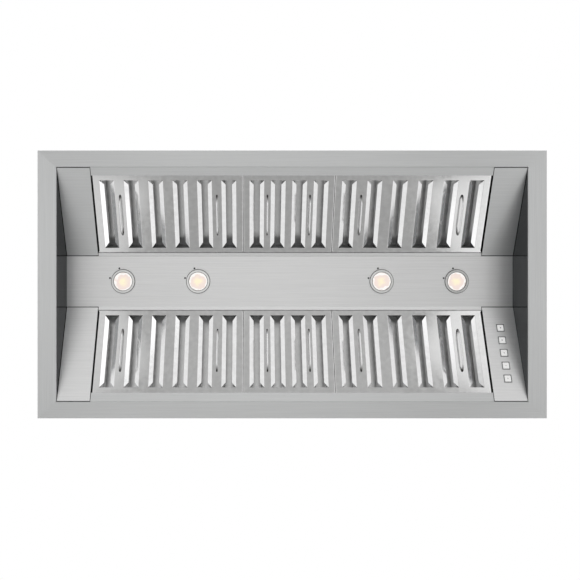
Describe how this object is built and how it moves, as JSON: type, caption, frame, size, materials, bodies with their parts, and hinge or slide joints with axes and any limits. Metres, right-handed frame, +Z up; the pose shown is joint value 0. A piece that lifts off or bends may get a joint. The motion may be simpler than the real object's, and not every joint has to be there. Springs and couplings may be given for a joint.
{
  "type": "island range hood",
  "caption": "Island range hood: stainless pyramid canopy with sloped baffle filters, a light panel and push buttons underneath, and a telescoping chimney hung from the ceiling.",
  "frame": {"origin": "middle of the ceiling plate's top face, where the hood hangs from the ceiling", "axes": "+Z up, +X to the right along the hood's length, front is -Y; the buttons are at the front left"},
  "size_m": [1.213, 0.638, 0.96],
  "materials": {
    "canopy_steel": "brushed along each side",
    "liner_steel": "brushed",
    "side_wall_steel": "satin, darker",
    "filter_steel": "polished",
    "baffle_steel": "satin",
    "handle_wire": "polished wire",
    "spring_steel": "plain",
    "lamp_ring": "satin",
    "lamp_lens": "frosted, lit warm",
    "heat_sink": "cast",
    "dark_screw": "black oxide",
    "steel_screw": "plated",
    "button_white": "moulded",
    "bezel_grey": "moulded",
    "box_plastic": "moulded",
    "board_green": "circuit board",
    "galvanised": "galvanised sheet",
    "impeller_metal": "pressed",
    "motor_black": "enamel",
    "shaft_steel": "ground"
  },
  "bodies": {
    "canopy": {"canopy_band_front": "canopy_steel", "canopy_band_rear": "canopy_steel", "canopy_band_left": "canopy_steel", "canopy_band_right": "canopy_steel", "canopy_roof": "canopy_steel", "side_wall_left": "side_wall_steel", "side_wall_right": "side_wall_steel", "ledge_front": "liner_steel", "ledge_rear": "liner_steel", "light_panel": "liner_steel", "end_panel_rear_left": "liner_steel", "end_panel_rear_right": "liner_steel", "end_panel_front_right": "liner_steel", "control_panel": "liner_steel", "filter_catches": "spring_steel", "lamp_rings": "lamp_ring", "lamp_lenses": "lamp_lens", "lamp_cups": "heat_sink", "lamp_screws": "dark_screw", "button_bezels": "bezel_grey", "control_box": "box_plastic", "control_board": "board_green", "blower_scroll": "galvanised", "motor": "motor_black", "motor_spider": "galvanised", "outlet_collar": "galvanised", "damper_rod": "shaft_steel", "chimney_cover_lower": "canopy_steel", "ceiling_plate": "galvanised", "hanger_legs": "galvanised", "cover_screws": "steel_screw", "junction_box": "galvanised"},
    "filter_rear_right": {"filter_tray_rear_right": "filter_steel", "filter_baffles_rear_right": "baffle_steel", "filter_handles_rear_right": "handle_wire"},
    "filter_rear_middle": {"filter_tray_rear_middle": "filter_steel", "filter_baffles_rear_middle": "baffle_steel", "filter_handles_rear_middle": "handle_wire"},
    "filter_rear_left": {"filter_tray_rear_left": "filter_steel", "filter_baffles_rear_left": "baffle_steel", "filter_handles_rear_left": "handle_wire"},
    "filter_front_right": {"filter_tray_front_right": "filter_steel", "filter_baffles_front_right": "baffle_steel", "filter_handles_front_right": "handle_wire"},
    "filter_front_middle": {"filter_tray_front_middle": "filter_steel", "filter_baffles_front_middle": "baffle_steel", "filter_handles_front_middle": "handle_wire"},
    "filter_front_left": {"filter_tray_front_left": "filter_steel", "filter_baffles_front_left": "baffle_steel", "filter_handles_front_left": "handle_wire"},
    "button_1": {"button_1": "button_white"},
    "button_2": {"button_2": "button_white"},
    "button_3": {"button_3": "button_white"},
    "button_4": {"button_4": "button_white"},
    "button_5": {"button_5": "button_white"},
    "impeller": {"impeller": "impeller_metal", "motor_shaft": "shaft_steel"},
    "damper_flap_left": {"damper_flap_left": "galvanised"},
    "damper_flap_right": {"damper_flap_right": "galvanised"},
    "chimney_cover_upper": {"chimney_cover_upper": "canopy_steel"}
  },
  "joints": [
    {"name": "filter_rear_right_swing", "type": "hinge", "parent": "canopy", "child": "filter_rear_right", "pos_m": [0.29856, 0.26055, -0.94868], "axis": [1, 0, 0], "range_deg": [0, 75]},
    {"name": "filter_rear_middle_swing", "type": "hinge", "parent": "canopy", "child": "filter_rear_middle", "pos_m": [0.00627, 0.26055, -0.94868], "axis": [1, 0, 0], "range_deg": [0, 75]},
    {"name": "filter_rear_left_swing", "type": "hinge", "parent": "canopy", "child": "filter_rear_left", "pos_m": [-0.29229, 0.26055, -0.94868], "axis": [1, 0, 0], "range_deg": [0, 75]},
    {"name": "filter_front_right_swing", "type": "hinge", "parent": "canopy", "child": "filter_front_right", "pos_m": [0.29856, -0.26055, -0.94868], "axis": [-1, 0, 0], "range_deg": [0, 75]},
    {"name": "filter_front_middle_swing", "type": "hinge", "parent": "canopy", "child": "filter_front_middle", "pos_m": [0.00627, -0.26055, -0.94868], "axis": [-1, 0, 0], "range_deg": [0, 75]},
    {"name": "filter_front_left_swing", "type": "hinge", "parent": "canopy", "child": "filter_front_left", "pos_m": [-0.29229, -0.26055, -0.94868], "axis": [-1, 0, 0], "range_deg": [0, 75]},
    {"name": "button_1_press", "type": "slide", "parent": "canopy", "child": "button_1", "axis": [0, -0.416, 0.9094], "range_m": [0, 0.0015], "stiffness_N_per_m": 600, "springref_m": -0.002},
    {"name": "button_2_press", "type": "slide", "parent": "canopy", "child": "button_2", "axis": [0, -0.416, 0.9094], "range_m": [0, 0.0015], "stiffness_N_per_m": 600, "springref_m": -0.002},
    {"name": "button_3_press", "type": "slide", "parent": "canopy", "child": "button_3", "axis": [0, -0.416, 0.9094], "range_m": [0, 0.0015], "stiffness_N_per_m": 600, "springref_m": -0.002},
    {"name": "button_4_press", "type": "slide", "parent": "canopy", "child": "button_4", "axis": [0, -0.416, 0.9094], "range_m": [0, 0.0015], "stiffness_N_per_m": 600, "springref_m": -0.002},
    {"name": "button_5_press", "type": "slide", "parent": "canopy", "child": "button_5", "axis": [0, -0.416, 0.9094], "range_m": [0, 0.0015], "stiffness_N_per_m": 600, "springref_m": -0.002},
    {"name": "impeller_spin", "type": "hinge", "parent": "canopy", "child": "impeller", "pos_m": [0, -0.059, -0.728], "axis": [1, 0, 0], "continuous": true},
    {"name": "damper_left_lift", "type": "hinge", "parent": "canopy", "child": "damper_flap_left", "pos_m": [0, 0, -0.5668], "axis": [0, 1, 0], "range_deg": [0, 75]},
    {"name": "damper_right_lift", "type": "hinge", "parent": "canopy", "child": "damper_flap_right", "pos_m": [0, 0, -0.5668], "axis": [0, -1, 0], "range_deg": [0, 75]},
    {"name": "upper_cover_slide", "type": "slide", "parent": "canopy", "child": "chimney_cover_upper", "axis": [0, 0, 1], "range_m": [-0.15, 0]}
  ]
}
